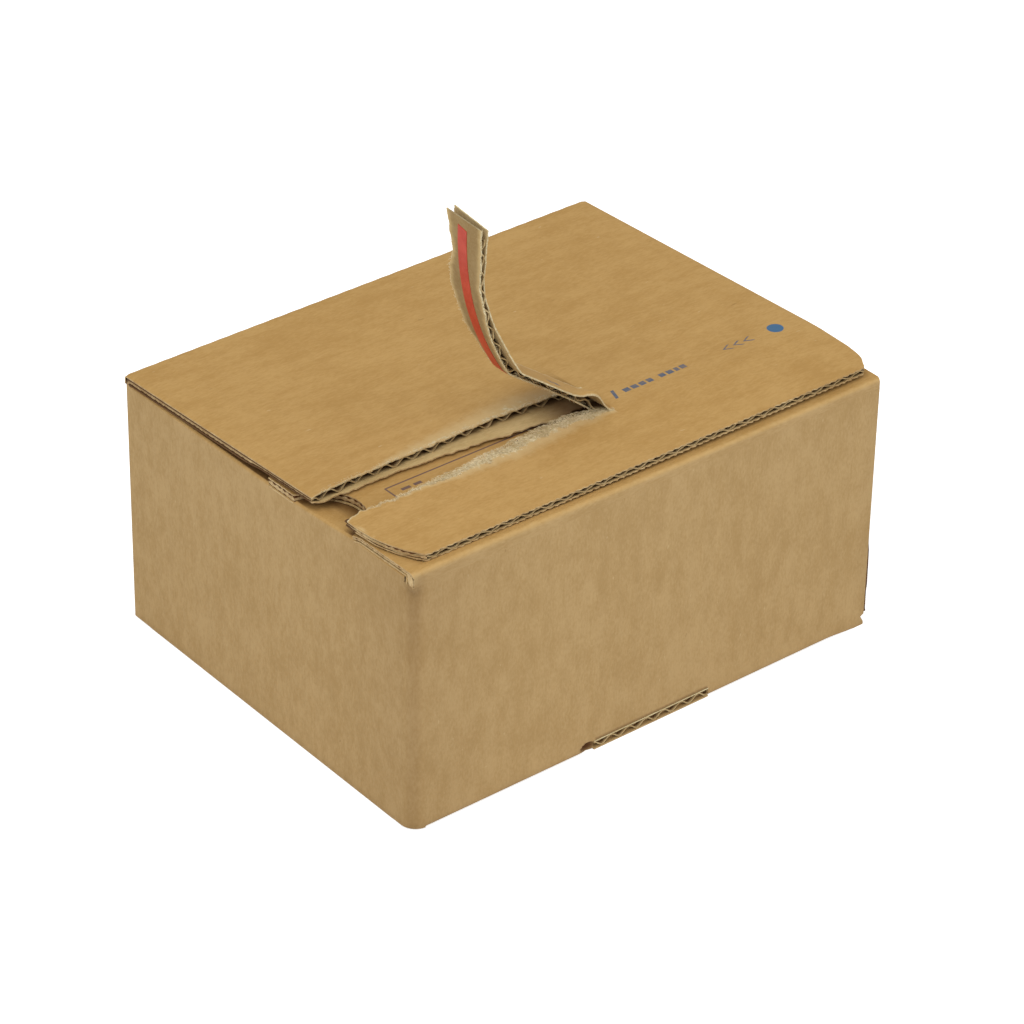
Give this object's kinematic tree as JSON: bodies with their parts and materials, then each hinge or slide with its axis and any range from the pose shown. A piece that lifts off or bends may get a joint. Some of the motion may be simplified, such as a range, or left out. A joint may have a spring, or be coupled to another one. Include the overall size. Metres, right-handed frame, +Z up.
{
  "type": "corrugated mailer box",
  "caption": "Closed corrugated mailer box with a glued lid, a finger notch and a tear strip that is half pulled off and curls up over the lid.",
  "frame": {"origin": "under the middle of the box, on the surface that it stands on", "axes": "+X to the right along the long front wall, +Y from the front wall to the rear wall, +Z up"},
  "size_m": [0.1668, 0.132, 0.1608],
  "materials": {
    "kraft_board": "matt brown kraft liner with fine fibres",
    "red_tape": "satin red film",
    "hot_melt": "satin",
    "starch_glue": "matt"
  },
  "bodies": {
    "root": {"box_blank": "kraft_board", "tear_tape": "red_tape", "seal_adhesive": "hot_melt", "seam_glue": "starch_glue", "base_glue_left": "starch_glue", "base_glue_right": "starch_glue"}
  },
  "joints": []
}
